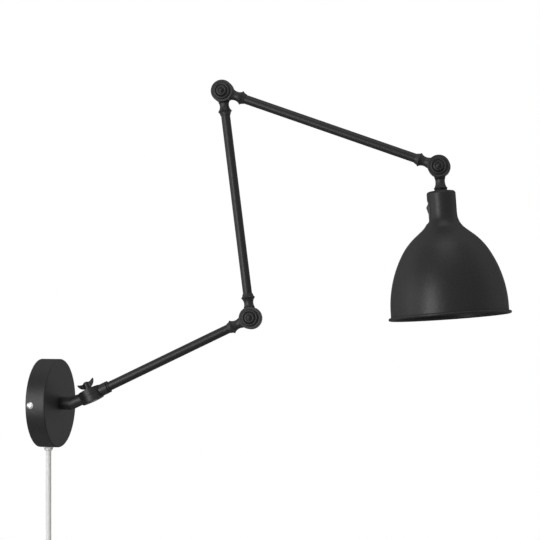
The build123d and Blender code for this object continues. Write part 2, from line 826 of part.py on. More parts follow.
def base_end():
    """Cast lower-arm end: upper half of the base knuckle and a plain collar with a lip."""
    radius = base_collar_diameter / 2
    lip_start = base_collar_length - base_collar_lip
    groove_start = lip_start - base_collar_groove
    collar = rod(radius, base_neck_root, base_collar_length)
    collar = chamfer(collar.edges().group_by(Axis.X)[-1], base_collar_chamfer)
    collar -= rod(radius, groove_start, lip_start)
    collar += rod(radius - base_collar_groove_depth, groove_start, lip_start)
    end = knuckle_half(collar, base_knuckle_diameter / 2)
    end -= rod(tube_radius, base_socket_start, base_collar_length)
    end -= wire_hole(base_socket_start + wire_way_lead)
    return ONTO_SWING_AXIS * end


def lower_arm():
    tip = at_tip(lower_arm_length)
    tube_end = lower_arm_length - elbow_socket_start
    return {
        "lower_arm_base_end": LOWER * base_end(),
        "lower_arm_tube": LOWER * arm_tube(base_socket_start, tube_end),
        "lower_arm_elbow_end": LOWER * tip * front_end(),
        "lower_arm_flex": LOWER * arm_flex(base_socket_start, tube_end),
    }


def middle_arm():
    tip = at_tip(middle_arm_length)
    tube_end = middle_arm_length - elbow_socket_start
    return {
        "middle_arm_lower_end": MIDDLE * BACK * elbow_end(),
        "middle_arm_tube": MIDDLE * arm_tube(elbow_socket_start, tube_end),
        "middle_arm_upper_end": MIDDLE * tip * BACK * elbow_end(),
        "middle_arm_flex": MIDDLE * arm_flex(elbow_socket_start, tube_end),
    }


def upper_arm():
    tip = at_tip(upper_arm_length)
    tube_end = upper_arm_length - elbow_socket_start
    return {
        "upper_arm_elbow_end": UPPER * front_end(),
        "upper_arm_tube": UPPER * arm_tube(elbow_socket_start, tube_end),
        "upper_arm_head_end": UPPER * tip * front_end(),
        "upper_arm_flex": UPPER * arm_flex(elbow_socket_start, tube_end),
    }


def elbow_hardware(name, frame):
    """Bolt, washer and ringed cap nut, all carried by the front half of an elbow."""
    return {
        f"{name}_bolt": frame * elbow_bolt(),
        f"{name}_washer": frame * friction_washer(),
        f"{name}_cap_nut": frame * cap_nut(),
    }


# ---------------------------------------------------------------- lamp head
stem_thread_end = stem_foot_at + stem_thread_length


def shade_stem():
    """Cast stem: back knuckle half, waisted neck, bead, foot and threaded tail."""
    root = (elbow_neck_root, neck_root_radius)
    rim = (elbow_diameter / 2, neck_root_radius)
    bead_front = (stem_bead_at - bead_front_length, stem_bead_radius - bead_front_drop)
    bead = (stem_bead_at, stem_bead_radius)
    groove = ((stem_bead_at + stem_foot_at) / 2, stem_groove_radius)
    foot_top = (stem_foot_at - stem_foot_height, stem_foot_radius)
    foot = (stem_foot_at, stem_foot_radius)
    neck = turned(
        Line((elbow_neck_root, 0), root),
        Line(root, rim),
        ThreePointArc(rim, (neck_waist_at, neck_waist_radius), bead_front),
        Line(bead_front, bead),
        Line(bead, groove),
        Line(groove, foot_top),
        Line(foot_top, foot),
        Line(foot, (stem_foot_at, 0)),
        Line((stem_foot_at, 0), (elbow_neck_root, 0)),
    )
    neck += rod(stem_thread_diameter / 2, stem_foot_at, stem_thread_end)
    stem = knuckle_half(neck, elbow_diameter / 2)
    stem -= rod(wire_hole_radius, elbow_socket_start, stem_thread_end)
    stem -= wire_hole(elbow_socket_start + wire_way_lead)
    return HEAD * BACK * stem


def shade_form(inset, end):
    """Solid of the bell shade, its surface moved in by inset, from its top to a given end."""
    side = Vector(shade_mouth_at - shade_skirt, shade_mouth_radius - shade_side_radius)
    side_radius = shade_side_radius - inset
    turn = radians(shade_side_angle)
    side_end = side + Vector(-sin(turn), cos(turn)) * side_radius
    side_middle = side + Vector(-sin(turn / 2), cos(turn / 2)) * side_radius
    shoulder = side + Vector(-sin(turn), cos(turn)) * (shade_side_radius - shade_shoulder_radius)
    shoulder_radius = shade_shoulder_radius - inset
    steep = radians(shade_cone_angle)
    between = (turn + steep) / 2
    shoulder_end = shoulder + Vector(-sin(steep), cos(steep)) * shoulder_radius
    shoulder_middle = shoulder + Vector(-sin(between), cos(between)) * shoulder_radius
    outer_shoulder_end = shoulder + Vector(-sin(steep), cos(steep)) * shade_shoulder_radius
    flare_r = shade_neck_radius + shade_flare_radius
    cone_length = (outer_shoulder_end.Y - flare_r + shade_flare_radius * cos(steep)) / sin(steep)
    flare_h = outer_shoulder_end.X - cone_length * cos(steep) - shade_flare_radius * sin(steep)
    flare_radius = shade_flare_radius + inset
    flare_start = Vector(flare_h + flare_radius * sin(steep), flare_r - flare_radius * cos(steep))
    flare_middle = Vector(flare_h + flare_radius * sin(steep / 2), flare_r - flare_radius * cos(steep / 2))
    neck = shade_neck_radius - inset
    top = stem_foot_at + inset
    corner = shade_top_radius - inset
    corner_h = stem_foot_at + shade_top_radius
    corner_r = shade_neck_radius - shade_top_radius
    mouth = shade_mouth_radius - inset
    return turned(
        Line((top, 0), (top, corner_r)),
        ThreePointArc(
            (top, corner_r),
            (corner_h - corner * sin(pi / 4), corner_r + corner * cos(pi / 4)),
            (corner_h, neck),
        ),
        Line((corner_h, neck), (flare_h, neck)),
        ThreePointArc((flare_h, neck), flare_middle, flare_start),
        Line(flare_start, shoulder_end),
        ThreePointArc(shoulder_end, shoulder_middle, side_end),
        ThreePointArc(side_end, side_middle, (side.X, mouth)),
        Line((side.X, mouth), (end, mouth)),
        Line((end, mouth), (end, 0)),
        Line((end, 0), (top, 0)),
    )


def slot_prism(clearance, inner, outer):
    """Rounded slot outline in the shade's neck, as a prism towards the wall side (-Y)."""
    outline = RectangleRounded(
        slot_length - 2 * clearance, slot_width - 2 * clearance, slot_corner_radius - clearance
    )
    plane = Plane(origin=(slot_middle, -inner, 0), x_dir=(1, 0, 0), z_dir=(0, -1, 0))
    return plane.location * extrude(outline, outer - inner)


def shade():
    shell = shade_form(0, shade_mouth_at)
    lip = Rot(0, 90, 0) * Torus(shade_mouth_radius + shade_lip_overhang, shade_lip_radius)
    shell += Pos(shade_mouth_at, 0, 0) * lip
    shell -= shade_form(shade_wall, shade_mouth_at + 2 * shade_lip_radius)
    shell -= rod(stem_thread_diameter / 2 + hole_clearance, stem_foot_at, stem_thread_end)
    shell -= slot_prism(0, 0, shade_shoulder_radius)
    return HEAD * shell


shade_nut_start = stem_foot_at + shade_wall
holder_start = shade_nut_start + shade_nut_height


def shade_nut():
    nut = hexagon(shade_nut_across_flats, shade_nut_height)
    nut -= Cylinder(stem_thread_diameter / 2, shade_nut_height, align=MIN_Z)
    return HEAD * Pos(shade_nut_start, 0, 0) * Rot(0, 90, 0) * nut


holder_split = holder_start + holder_cap_length
holder_skirt_start = holder_end_at - holder_skirt_length
socket_floor_at = holder_end_at - socket_length - socket_floor_depth


def lampholder_cap():
    cap = rod(holder_radius, holder_start, holder_split)
    cap = fillet(cap.edges().group_by(Axis.X)[0], holder_top_edge_radius)
    cap -= rod(stem_thread_diameter / 2, holder_start, stem_thread_end)
    cap -= rod(wire_hole_radius, stem_thread_end, holder_split)
    return HEAD * cap


def rocker_pocket(clearance):
    """Pocket for the rocker in the switch face, opening towards the wall side."""
    pocket = Box(
        rocker_length + 2 * clearance, rocker_pocket_depth, rocker_width + 2 * clearance,
        align=(Align.CENTER, Align.MIN, Align.CENTER),
    )
    return Pos(rocker_middle, -switch_face_at, 0) * pocket


def rocker_axle(radius, length):
    return Pos(rocker_middle, -switch_face_at + rocker_axle_depth, 0) * Cylinder(radius, length)


def lampholder_body():
    """Holder with its skirt and the switch housing that fills the slot of the shade."""
    body = rod(holder_radius, holder_split, holder_skirt_start)
    body += rod(holder_skirt_radius, holder_skirt_start, holder_end_at)
    below_cap = rod(canopy_radius, holder_split, slot_middle + slot_length / 2)
    body += slot_prism(switch_fit, 0, switch_face_at) & below_cap
    body -= rod(socket_radius + socket_shell_wall, socket_floor_at, holder_end_at)
    body -= rocker_pocket(rocker_gap)
    axle_hole = rocker_width + 2 * (rocker_axle_end + running_clearance)
    body -= rocker_axle(rocker_axle_radius + running_clearance, axle_hole)
    return HEAD * body


def socket_shell():
    start = holder_end_at - socket_length
    end = holder_end_at - socket_shell_sunk
    return HEAD * (rod(socket_radius + socket_shell_wall, start, end) - rod(socket_radius, start, end))


def socket_contact():
    """Centre contact: a button on a bent leaf at the bottom of the socket."""
    leaf = Box(*contact_leaf, align=(Align.MIN, Align.CENTER, Align.CENTER))
    leaf_thickness = contact_leaf[0]
    button = rod(contact_button_radius, leaf_thickness, leaf_thickness + contact_button_height)
    return HEAD * Pos(socket_floor_at, 0, 0) * (leaf + button)


def switch_rocker():
    """Rocker that tips about its axle; its wall-side face rises to a ridge near the top."""
    half = rocker_length / 2
    outline = Polyline(
        (-half, rocker_back), (-half, -rocker_edge), (-rocker_peak_above, -rocker_peak),
        (half, -rocker_edge), (half, rocker_back_low), (rocker_axle_radius, rocker_keel),
        (-rocker_axle_radius, rocker_keel), (-half, rocker_back),
    )
    rocker = extrude(make_face(outline), rocker_width / 2, both=True)
    rocker = Pos(rocker_middle, -switch_face_at, 0) * rocker
    rocker += rocker_axle(rocker_axle_radius, rocker_width + 2 * rocker_axle_end)
    return HEAD * rocker


# ---------------------------------------------------------------- all nodes
def all_parts():
    parts = {
        "wall_bracket": wall_bracket(),
        "canopy": canopy(),
        "canopy_screws": canopy_screws(),
        "terminal_block": terminal_block(),
        "terminal_screws": terminal_screws(),
        "terminal_fixing_screw": terminal_fixing_screw(),
        "cord_gland": cord_gland(),
        "cord_gland_nut": cord_gland_nut(),
        "cord_clamp": cord_clamp(),
        "cord_clamp_screws": cord_clamp_screws(),
        "cord_inner_end": cord_inner_end(),
        "cord_conductors": cord_conductors(),
        "cord": cord(),
        "cord_coil": cord_coil(),
        "cord_tie": cord_tie(),
        "plug": plug(),
        "plug_pins": plug_pins(),
        "elbow_stub": elbow_stub(),
        "stub_washer": stub_washer(),
        "stub_locknut": stub_locknut(),
        "swing_bolt": swing_bolt(),
        "swing_fibre_washer": swing_fibre_washer(),
        "swing_steel_washer": swing_steel_washer(),
        "wing_nut": wing_nut(),
    }
    parts.update(lower_arm())
    parts.update(elbow_hardware("lower_elbow", LOWER * Pos(lower_arm_length, 0, 0)))
    parts.update(middle_arm())
    parts.update(elbow_hardware("upper_elbow", UPPER))
    parts.update(upper_arm())
    parts.update(elbow_hardware("head_elbow", UPPER * Pos(upper_arm_length, 0, 0)))
    parts["shade_stem"] = shade_stem()
    parts["shade"] = shade()
    parts["shade_nut"] = shade_nut()
    parts["lampholder_cap"] = lampholder_cap()
    parts["lampholder_body"] = lampholder_body()
    parts["socket_shell"] = socket_shell()
    parts["socket_contact"] = socket_contact()
    parts["switch_rocker"] = switch_rocker()
    return parts


def main():
    os.makedirs("parts", exist_ok=True)
    for name, solid in all_parts().items():
        export_step(solid, f"parts/{name}.step")


main()
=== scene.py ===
import json
from math import cos, pi, radians, sin

import bmesh
import bpy
from mathutils import Matrix, Vector


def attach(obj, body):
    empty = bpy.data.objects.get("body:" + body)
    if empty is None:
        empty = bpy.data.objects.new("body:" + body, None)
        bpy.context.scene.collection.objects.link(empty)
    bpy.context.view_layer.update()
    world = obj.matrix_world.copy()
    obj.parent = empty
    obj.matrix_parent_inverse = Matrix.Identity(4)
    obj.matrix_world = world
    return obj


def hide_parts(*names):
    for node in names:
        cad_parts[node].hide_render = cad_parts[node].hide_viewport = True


# Looks of an articulating wall lamp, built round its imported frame. Metres throughout, apart
# from the wing nut and its bolt: the wall is the plane Y = 0, the lamp stands out along -Y
# and Z is up.

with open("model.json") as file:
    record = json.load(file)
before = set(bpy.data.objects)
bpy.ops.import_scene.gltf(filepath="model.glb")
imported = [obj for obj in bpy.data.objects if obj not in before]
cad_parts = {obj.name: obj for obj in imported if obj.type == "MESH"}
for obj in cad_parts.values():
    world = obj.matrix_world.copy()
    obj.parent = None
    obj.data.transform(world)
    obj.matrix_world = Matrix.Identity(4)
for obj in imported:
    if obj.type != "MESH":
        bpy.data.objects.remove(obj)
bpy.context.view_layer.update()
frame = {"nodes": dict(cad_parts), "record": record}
nodes = frame["nodes"]
joints = {joint["name"]: joint for joint in frame["record"]["behaviour"]["joints"]}

# ---------------------------------------------------------------- mains cord
CORD_DIAMETER = 0.007
CORD_OUT = -0.009
GLAND_BOTTOM = -0.0604
COIL_MIDDLE = -0.241
COIL_MEAN_RADIUS = 0.0365
COIL_PITCH = 0.0076
COIL_LAYER_PITCH = 0.0076
COIL_TURNS_PER_LAYER = 4
COIL_LEAD_OUT = 0.0116
POINTS_PER_HALF_TURN = 8

# ---------------------------------------------------------------- powder coat
COAT_DARK = (0.002, 0.002, 0.0022)
COAT_LIGHT = (0.009, 0.009, 0.0095)
COAT_GRAZING_ROUGHNESS = 0.85
# Roughness and specular level of the coat on castings.
CASTING = (0.44, 0.28)
# Distances from a joint along its arm, between which the coat stays dull and is painted dark:
# painted shade in the ring recess near the base knuckle and under two other knuckles.
COLLAR_GROOVE_SHADE = (0.0231, 0.0245)
NECK_ROOT_SHADE = (0.0140, 0.0153)
STEM_ROOT_SHADE = (0.0148, 0.0166)
# From the shade's joint to its lamp socket.
STEM_DROP = Vector((-0.0037, -0.0065, -0.0781))

# Nodes whose material isn't simply that of their slot; three of them carry a band of painted
# shade.
FINISHES = {
    "elbow_stub": "coated_casting",
    "lower_arm_base_end": "collar_painted_shade",
    "lower_arm_elbow_end": "coated_casting",
    "middle_arm_lower_end": "coated_casting",
    "middle_arm_upper_end": "neck_painted_shade",
    "upper_arm_elbow_end": "coated_casting",
    "upper_arm_head_end": "coated_casting",
    "shade_stem": "stem_painted_shade",
}

# ---------------------------------------------------------------- wing nut and its bolt
# Both are drawn in millimetres, their Z along the swing axis: the nut from its seat, and the
# bolt from the middle of the knuckle. A wing's points are (reach, height).
MILLIMETRE = 0.001
NUT_SEAT = 9.2
NUT_TURN = radians(-18)
NUT_BORE = 2.7
HUB_OUTLINE = ((NUT_BORE, 0), (4.4, 0), (4.7, 0.3), (3.7, 7.7), (3.3, 8.2), (NUT_BORE, 8.3))
WING_ROOT = 2.8
WING_FOOT = (4.2, 0.6)
WING_OUTER_BULGE = (8.5, 2.4)
WING_TIP_CORNER = (11.8, 6.3)
WING_TIP_BULGE = (12.5, 8.3)
WING_TIP = (12.3, 9.8)
WING_INNER_BULGE = (7.4, 7.8)
WING_SHOULDER = (3.4, 7.5)
WING_ROOT_THICKNESS = 2.6
WING_TIP_THICKNESS = 1.9
WING_STEPS = 8
CAST_VOXEL = 0.22
FILLET_STRENGTH = 0.5
FILLET_PASSES = 5
KNUCKLE_FACE = -8.0
BOLT_RADIUS = 2.5
BOLT_HEAD_RADIUS = 5.0
BOLT_TOP = NUT_SEAT + 8.9
BOLT_TIP_CHAMFER = 0.4
BOLT_EDGE = 0.1
BOLT_HEAD_BREAK = 0.15
SOCKET_MOUTH_RADIUS = 2.0
SOCKET_RADIUS = 1.5
SOCKET_DEPTH = 1.6
SEGMENTS = 48

# ---------------------------------------------------------------- camera
AZIMUTH = radians(-75.1)
AIMED_AT = Vector((0, -0.024, 0))
AIM_DEPTH = 2.539
AIM_PIXEL = (59.6, 403.1)
PICTURE_SIZE = 540
FOCAL_LENGTH = 2000
SENSOR = 36.0
VIEW_DEPTH = 50

# ---------------------------------------------------------------- lights, world and floor
LIT_PLACE = Vector((0.04, -0.3, 0.2))
LAMP_DISTANCE = 1.9
# Name, degrees to the left of the camera, height over the lit place, size and power in watts.
LAMPS = (
    ("key_light", 36, 0.02, (0.6, 1.5), 31),
    ("side_light", 85, 0.2, (1.5, 1.2), 9),
    ("low_light", -150, -0.5, (1.6, 0.6), 6),
)
TOP_LAMP_OFFSET = Vector((-0.5, -0.2, 1.9))
TOP_LAMP_SIZE = (1.2, 1.2)
TOP_LAMP_POWER = 8
WORLD_LIGHT = 0.3
FLOOR_MIDDLE = (0.03, -0.3, -0.36)
FLOOR_RADIUS = 1.35
FLOOR_COLOR = (0.84, 0.84, 0.84)
# Added to the floor's tone for the camera alone.
FLOOR_LIFT = 0.35


# ---------------------------------------------------------------- materials
class Shader:
    """A Principled material with short names for the nodes that it is made of."""

    def __init__(self, name, color, roughness, metallic=0.0):
        self.material = bpy.data.materials.new(name)
        self.material.use_nodes = True
        self.tree = self.material.node_tree
        self.principled = self.tree.nodes["Principled BSDF"]
        self.set("Base Color", (*color, 1))
        self.set("Roughness", roughness)
        self.set("Metallic", metallic)
        self.place = self.add("ShaderNodeTexCoord").outputs["Object"]

    def add(self, kind):
        return self.tree.nodes.new(kind)

    def link(self, output, socket):
        self.tree.links.new(output, socket)

    def set(self, socket, value):
        self.principled.inputs[socket].default_value = value

    def drive(self, socket, output):
        """Gives the shader's socket the output of a node."""
        self.link(output, self.principled.inputs[socket])

    def math(self, operation, first, second):
        node = self.add("ShaderNodeMath")
        node.operation = operation
        for value, socket in zip((first, second), node.inputs):
            if isinstance(value, (int, float)):
                socket.default_value = value
            else:
                self.link(value, socket)
        return node.outputs["Value"]

    def noise(self, size, detail=2.0, stretch=(1, 1, 1)):
        """Noise whose grains are about the given size in metres."""
        scaled = self.add("ShaderNodeMapping")
        scaled.inputs["Scale"].default_value = stretch
        self.link(self.place, scaled.inputs["Vector"])
        noise = self.add("ShaderNodeTexNoise")
        noise.inputs["Scale"].default_value = 1 / size
        noise.inputs["Detail"].default_value = detail
        self.link(scaled.outputs["Vector"], noise.inputs["Vector"])
        return noise.outputs["Fac"]

    def between(self, factor, low, high, start=0.3, end=0.7):
        """Maps a factor to a range of values."""
        ramp = self.add("ShaderNodeMapRange")
        ramp.inputs["From Min"].default_value = start
        ramp.inputs["From Max"].default_value = end
        ramp.inputs["To Min"].default_value = low
        ramp.inputs["To Max"].default_value = high
        self.link(factor, ramp.inputs["Value"])
        return ramp.outputs["Result"]

    def color_between(self, factor, first, second, start=0.3, end=0.7):
        """Blends the base colour from the first to the second as the factor rises."""
        ramp = self.add("ShaderNodeValToRGB")
        stops = ramp.color_ramp.elements
        stops[0].position = start
        stops[0].color = (*first, 1)
        stops[1].position = end
        stops[1].color = (*second, 1)
        self.link(factor, ramp.inputs["Fac"])
        self.drive("Base Color", ramp.outputs["Color"])

    def band(self, point, axis, start, end):
        """1 between two distances from a point along an axis, and 0 elsewhere."""
        along = self.add("ShaderNodeVectorMath")
        along.operation = "DOT_PRODUCT"
        self.link(self.place, along.inputs[0])
        along.inputs[1].default_value = axis
        distance = self.math("SUBTRACT", along.outputs["Value"], point.dot(axis))
        after = self.math("GREATER_THAN", distance, start)
        return self.math("MULTIPLY", after, self.math("LESS_THAN", distance, end))

    def facing(self):
        """0 where the surface faces the eye, 1 at a grazing angle."""
        weight = self.add("ShaderNodeLayerWeight")
        weight.inputs["Blend"].default_value = 0.5
        return weight.outputs["Facing"]

    def bump(self, height, depth, below=None):
        """Bump of a real depth in metres, over another bump if one is given."""
        bump = self.add("ShaderNodeBump")
        bump.inputs["Distance"].default_value = depth
        self.link(height, bump.inputs["Height"])
        if below:
            self.link(below, bump.inputs["Normal"])
        return bump.outputs["Normal"]


def powder_coat(name, roughness=0.40, specular=0.23, painted_shade_band=None):
    """Matte black powder coat: a fine pebbled skin that sparkles, over a slow orange peel.

    A band of (point, axis, start, end) is left dull and painted dark: painted shade, as falls in a
    recess or under a knuckle.
    """
    shader = Shader(name, COAT_LIGHT, roughness)
    grain = shader.noise(size=0.0011)
    peel = shader.noise(size=0.0035)
    tone = grain
    rough = shader.between(
        shader.facing(), roughness, COAT_GRAZING_ROUGHNESS, start=0.25, end=0.75
    )
    # Painted shade: the band's colour is darkened where shade falls, and its roughness raised.
    if painted_shade_band:
        painted_shade = shader.band(*painted_shade_band)
        tone = shader.math("SUBTRACT", grain, painted_shade)
        rough = shader.math("MAXIMUM", rough, painted_shade)
    shader.color_between(tone, COAT_DARK, COAT_LIGHT)
    shader.drive("Roughness", rough)
    skin = shader.bump(peel, depth=0.00014)
    shader.drive("Normal", shader.bump(grain, depth=0.00012, below=skin))
    shader.set("Specular IOR Level", specular)
    return shader.material


def brushed(name, color, roughness, size=0.0006):
    """Plated or drawn metal with fine scratches and a slightly uneven gloss."""
    shader = Shader(name, color, roughness, metallic=1.0)
    scratch = shader.noise(size, stretch=(1, 8, 1))
    cloud = shader.noise(size=0.006)
    dull = tuple(0.82 * c for c in color)
    shader.color_between(cloud, dull, color)
    shader.drive("Roughness", shader.between(cloud, roughness - 0.06, roughness + 0.08))
    shader.drive("Normal", shader.bump(scratch, depth=0.000006))
    return shader.material


def moulded(name, color, roughness, grain=0.0005, depth=0.00001, spread=0.1):
    """Moulded plastic: even colour, a faint grain and a slightly uneven gloss."""
    shader = Shader(name, color, roughness)
    fine = shader.noise(grain)
    cloud = shader.noise(size=0.012)
    darker = tuple((1 - spread) * c for c in color)
    shader.color_between(cloud, darker, color)
    shader.drive("Roughness", shader.between(cloud, roughness - 0.04, roughness + 0.05))
    shader.drive("Normal", shader.bump(fine, depth))
    return shader.material


def clear_plastic(name):
    """Clear moulded plastic that takes the white of what is round it."""
    shader = Shader(name, (0.93, 0.94, 0.94), roughness=0.18)
    shader.set("Transmission Weight", 0.75)
    shader.set("IOR", 1.46)
    flow = shader.noise(size=0.002)
    shader.drive("Normal", shader.bump(flow, depth=0.00003))
    return shader.material


def cord_sheath(name):
    """Pale grey flexible sheath, a little glossy, with faint handling marks."""
    shader = Shader(name, (0.52, 0.52, 0.515), roughness=0.5)
    cloud = shader.noise(size=0.02, detail=3.0)
    ripple = shader.noise(size=0.0015)
    shader.color_between(cloud, (0.50, 0.50, 0.49), (0.54, 0.54, 0.535))
    shader.drive("Roughness", shader.between(cloud, low=0.46, high=0.56))
    shader.drive("Normal", shader.bump(ripple, depth=0.00002))
    return shader.material


def joint_place(name):
    return Vector(joints[name]["pos_m"])


def painted_shade_band(start, towards, span):
    """A band of painted shade across an arm, between two distances from one place towards another.
    """
    return start, (towards - start).normalized(), *span


def make_materials():
    base, lower = joint_place("base_swing"), joint_place("lower_elbow")
    upper, head = joint_place("upper_elbow"), joint_place("shade_tilt")
    # Bands of painted shade near the base knuckle, under the upper elbow and under the shade's
    # joint.
    collar_shade = painted_shade_band(base, lower, COLLAR_GROOVE_SHADE)
    neck_shade = painted_shade_band(upper, lower, NECK_ROOT_SHADE)
    stem_shade = painted_shade_band(head, head + STEM_DROP, STEM_ROOT_SHADE)
    return {
        "black_powder_coat": powder_coat("black_powder_coat"),
        "coated_casting": powder_coat("coated_casting", *CASTING),
        # Coat on castings; the last three with their band of painted shade.
        "collar_painted_shade": powder_coat("collar_painted_shade", *CASTING, collar_shade),
        "neck_painted_shade": powder_coat("neck_painted_shade", *CASTING, neck_shade),
        "stem_painted_shade": powder_coat("stem_painted_shade", *CASTING, stem_shade),
        "black_steel": brushed("black_steel", (0.06, 0.06, 0.062), 0.42),
        "zinc_steel": brushed("zinc_steel", (0.58, 0.58, 0.60), 0.34),
        "bright_screw": brushed("bright_screw", (0.62, 0.61, 0.60), 0.30, size=0.0003),
        "plated_pin": brushed("plated_pin", (0.78, 0.77, 0.74), 0.2, size=0.0003),
        "aluminium_shell": brushed("aluminium_shell", (0.76, 0.76, 0.77), 0.35),
        "brass": brushed("brass", (0.78, 0.58, 0.30), 0.28),
        "terminal_plastic": moulded("terminal_plastic", (0.74, 0.73, 0.68), 0.42),
        "black_plastic": moulded("black_plastic", (0.022, 0.022, 0.022), 0.5, depth=0.00002),
        "rocker_plastic": moulded("rocker_plastic", (0.018, 0.018, 0.018), 0.3),
        "tie_strap": moulded("tie_strap", (0.02, 0.02, 0.02), 0.45),
        "wire_insulation": moulded("wire_insulation", (0.16, 0.07, 0.03), 0.4),
        "fibre": moulded(
            "fibre", (0.18, 0.05, 0.03), 0.75, grain=0.0003, depth=0.00003, spread=0.3
        ),
        "clear_plastic": clear_plastic("clear_plastic"),
        "cord_sheath": cord_sheath("cord_sheath"),
    }


materials = make_materials()


def finish_frame():
    """Gives every node of the frame the material of its slot, or its own variant of it."""
    for part in frame["record"]["subparts"]:
        name = FINISHES.get(part["node"], part["material_slot"])
        for slot in nodes[part["node"]].material_slots:
            slot.material = materials[name]


finish_frame()


# ---------------------------------------------------------------- cord
def smooth(t):
    return t * t * (3 - 2 * t)


def coil_points():
    """Control points of the coil: in through one layer, a climb, and out through the next."""
    halves = 2 * COIL_TURNS_PER_LAYER
    outer = COIL_MEAN_RADIUS + COIL_PITCH * COIL_TURNS_PER_LAYER / 2
    step = pi / POINTS_PER_HALF_TURN
    x, y = 0.0, CORD_OUT
    points = []
    for count in range(2 * halves):
        radius = outer - COIL_PITCH / 2 * (halves - abs(count - halves))
        side = -1 if count % 2 else 1
        climb = 0.0
        if count == halves:
            climb = -COIL_LAYER_PITCH
        if count == 2 * halves - 1:
            climb = -COIL_LEAD_OUT
        centre = x + side * radius
        reach = radius / cos(step / 2)
        for i in range(POINTS_PER_HALF_TURN):
            angle = step * (i + 0.5)
            rise = climb * smooth((i + 0.5) / POINTS_PER_HALF_TURN)
            points.append((
                centre - side * reach * cos(angle),
                y + rise,
                COIL_MIDDLE - side * reach * sin(angle),
            ))
        x += 2 * side * radius
        y += climb
    return points


def cord_route():
    start = (0, CORD_OUT, GLAND_BOTTOM)
    above = (0, CORD_OUT, COIL_MIDDLE + 2 * CORD_DIAMETER)
    end = (0, CORD_OUT - COIL_LAYER_PITCH - COIL_LEAD_OUT, COIL_MIDDLE - CORD_DIAMETER)
    return [start, above, *coil_points(), end]


def make_cord():
    curve = bpy.data.curves.new("mains_cord", "CURVE")
    curve.dimensions = "3D"
    curve.bevel_depth = CORD_DIAMETER / 2
    curve.bevel_resolution = 6
    curve.resolution_u = 6
    curve.use_fill_caps = True
    route = cord_route()
    spline = curve.splines.new("NURBS")
    spline.points.add(len(route) - 1)
    for point, place in zip(spline.points, route):
        point.co = (*place, 1)
    spline.order_u = 3
    spline.use_endpoint_u = True
    piece = bpy.data.objects.new("mains_cord", curve)
    bpy.context.collection.objects.link(piece)
    curve.materials.append(materials["cord_sheath"])
    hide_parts("cord", "cord_coil")
    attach(piece, "wall_mount")


make_cord()


# ---------------------------------------------------------------- wing nut and its bolt
def bowed(start, middle, end):
    """Points of a smooth bow from start to end, through a middle point."""
    pull = [2 * m - (s + e) / 2 for s, m, e in zip(start, middle, end)]
    points = []
    for i in range(WING_STEPS + 1):
        t = i / WING_STEPS
        first, between, last = (1 - t) ** 2, 2 * t * (1 - t), t * t
        points.append(tuple(
            first * s + between * p + last * e for s, p, e in zip(start, pull, end)
        ))
    return points


def hexagon_radius(angle):
    """Distance from the middle of the hex socket to its wall, in the direction of an angle."""
    return SOCKET_RADIUS / cos((angle + pi / 6) % (pi / 3) - pi / 6)


def add_strip(mesh, low, high):
    """Closes the gap between two rings of as many points with faces."""
    for i in range(len(low)):
        j = (i + 1) % len(low)
        mesh.faces.new((low[i], low[j], high[j], high[i]))


def add_turned(mesh, outline, closed):
    """Turns an outline of (radius or function of the angle, height) about Z."""
    angles = [2 * pi * i / SEGMENTS for i in range(SEGMENTS)]
    rings = []
    for radius, height in outline:
        ring = []
        for angle in angles:
            reach = radius(angle) if callable(radius) else radius
            ring.append(mesh.verts.new((reach * cos(angle), reach * sin(angle), height)))
        rings.append(ring)
    for low, high in zip(rings, rings[1:]):
        add_strip(mesh, low, high)
    if closed:
        add_strip(mesh, rings[-1], rings[0])
    else:
        mesh.faces.new(reversed(rings[0]))
        mesh.faces.new(rings[-1])


def add_wing(mesh, side):
    """One blunt leaf-shaped wing, thinner towards its tip."""
    leaf = [
        (WING_ROOT, WING_FOOT[1]),
        *bowed(WING_FOOT, WING_OUTER_BULGE, WING_TIP_CORNER),
        *bowed(WING_TIP_CORNER, WING_TIP_BULGE, WING_TIP)[1:],
        *bowed(WING_TIP, WING_INNER_BULGE, WING_SHOULDER)[1:],
        (WING_ROOT, WING_SHOULDER[1]),
    ]
    slimming = (WING_ROOT_THICKNESS - WING_TIP_THICKNESS) / WING_TIP[0]
    rings = []
    for face in (-1, 1):
        ring = [
            mesh.verts.new((side * x, face * (WING_ROOT_THICKNESS - slimming * x) / 2, z))
            for x, z in leaf
        ]
        mesh.faces.new(ring)
        rings.append(ring)
    add_strip(mesh, *rings)


def on_swing_axis(lift, turn):
    """Places a piece drawn in millimetres on the base knuckle's axis, its X turned off the arm."""
    foot = joint_place("base_swing")
    up = Vector(joints["base_swing"]["axis"]).normalized()
    along = (joint_place("lower_elbow") - foot).normalized()
    along = Matrix.Rotation(turn, 3, up) @ (along - up * along.dot(up)).normalized()
    axes = Matrix((along, up.cross(along), up)).transposed().to_4x4()
    place = Matrix.Translation(foot + up * lift * MILLIMETRE)
    return place @ axes @ Matrix.Scale(MILLIMETRE, 4)


def cast(piece):
    """Runs the forms of a piece together with small fillets, as a casting has."""
    remesh = piece.modifiers.new("cast", "REMESH")
    remesh.mode = "VOXEL"
    remesh.voxel_size = CAST_VOXEL
    fillet = piece.modifiers.new("fillet", "SMOOTH")
    fillet.factor = FILLET_STRENGTH
    fillet.iterations = FILLET_PASSES
    bpy.context.view_layer.update()
    shape = piece.evaluated_get(bpy.context.evaluated_depsgraph_get())
    data = bpy.data.meshes.new_from_object(shape)
    piece.modifiers.clear()
    piece.data = data
    for face in data.polygons:
        face.use_smooth = True


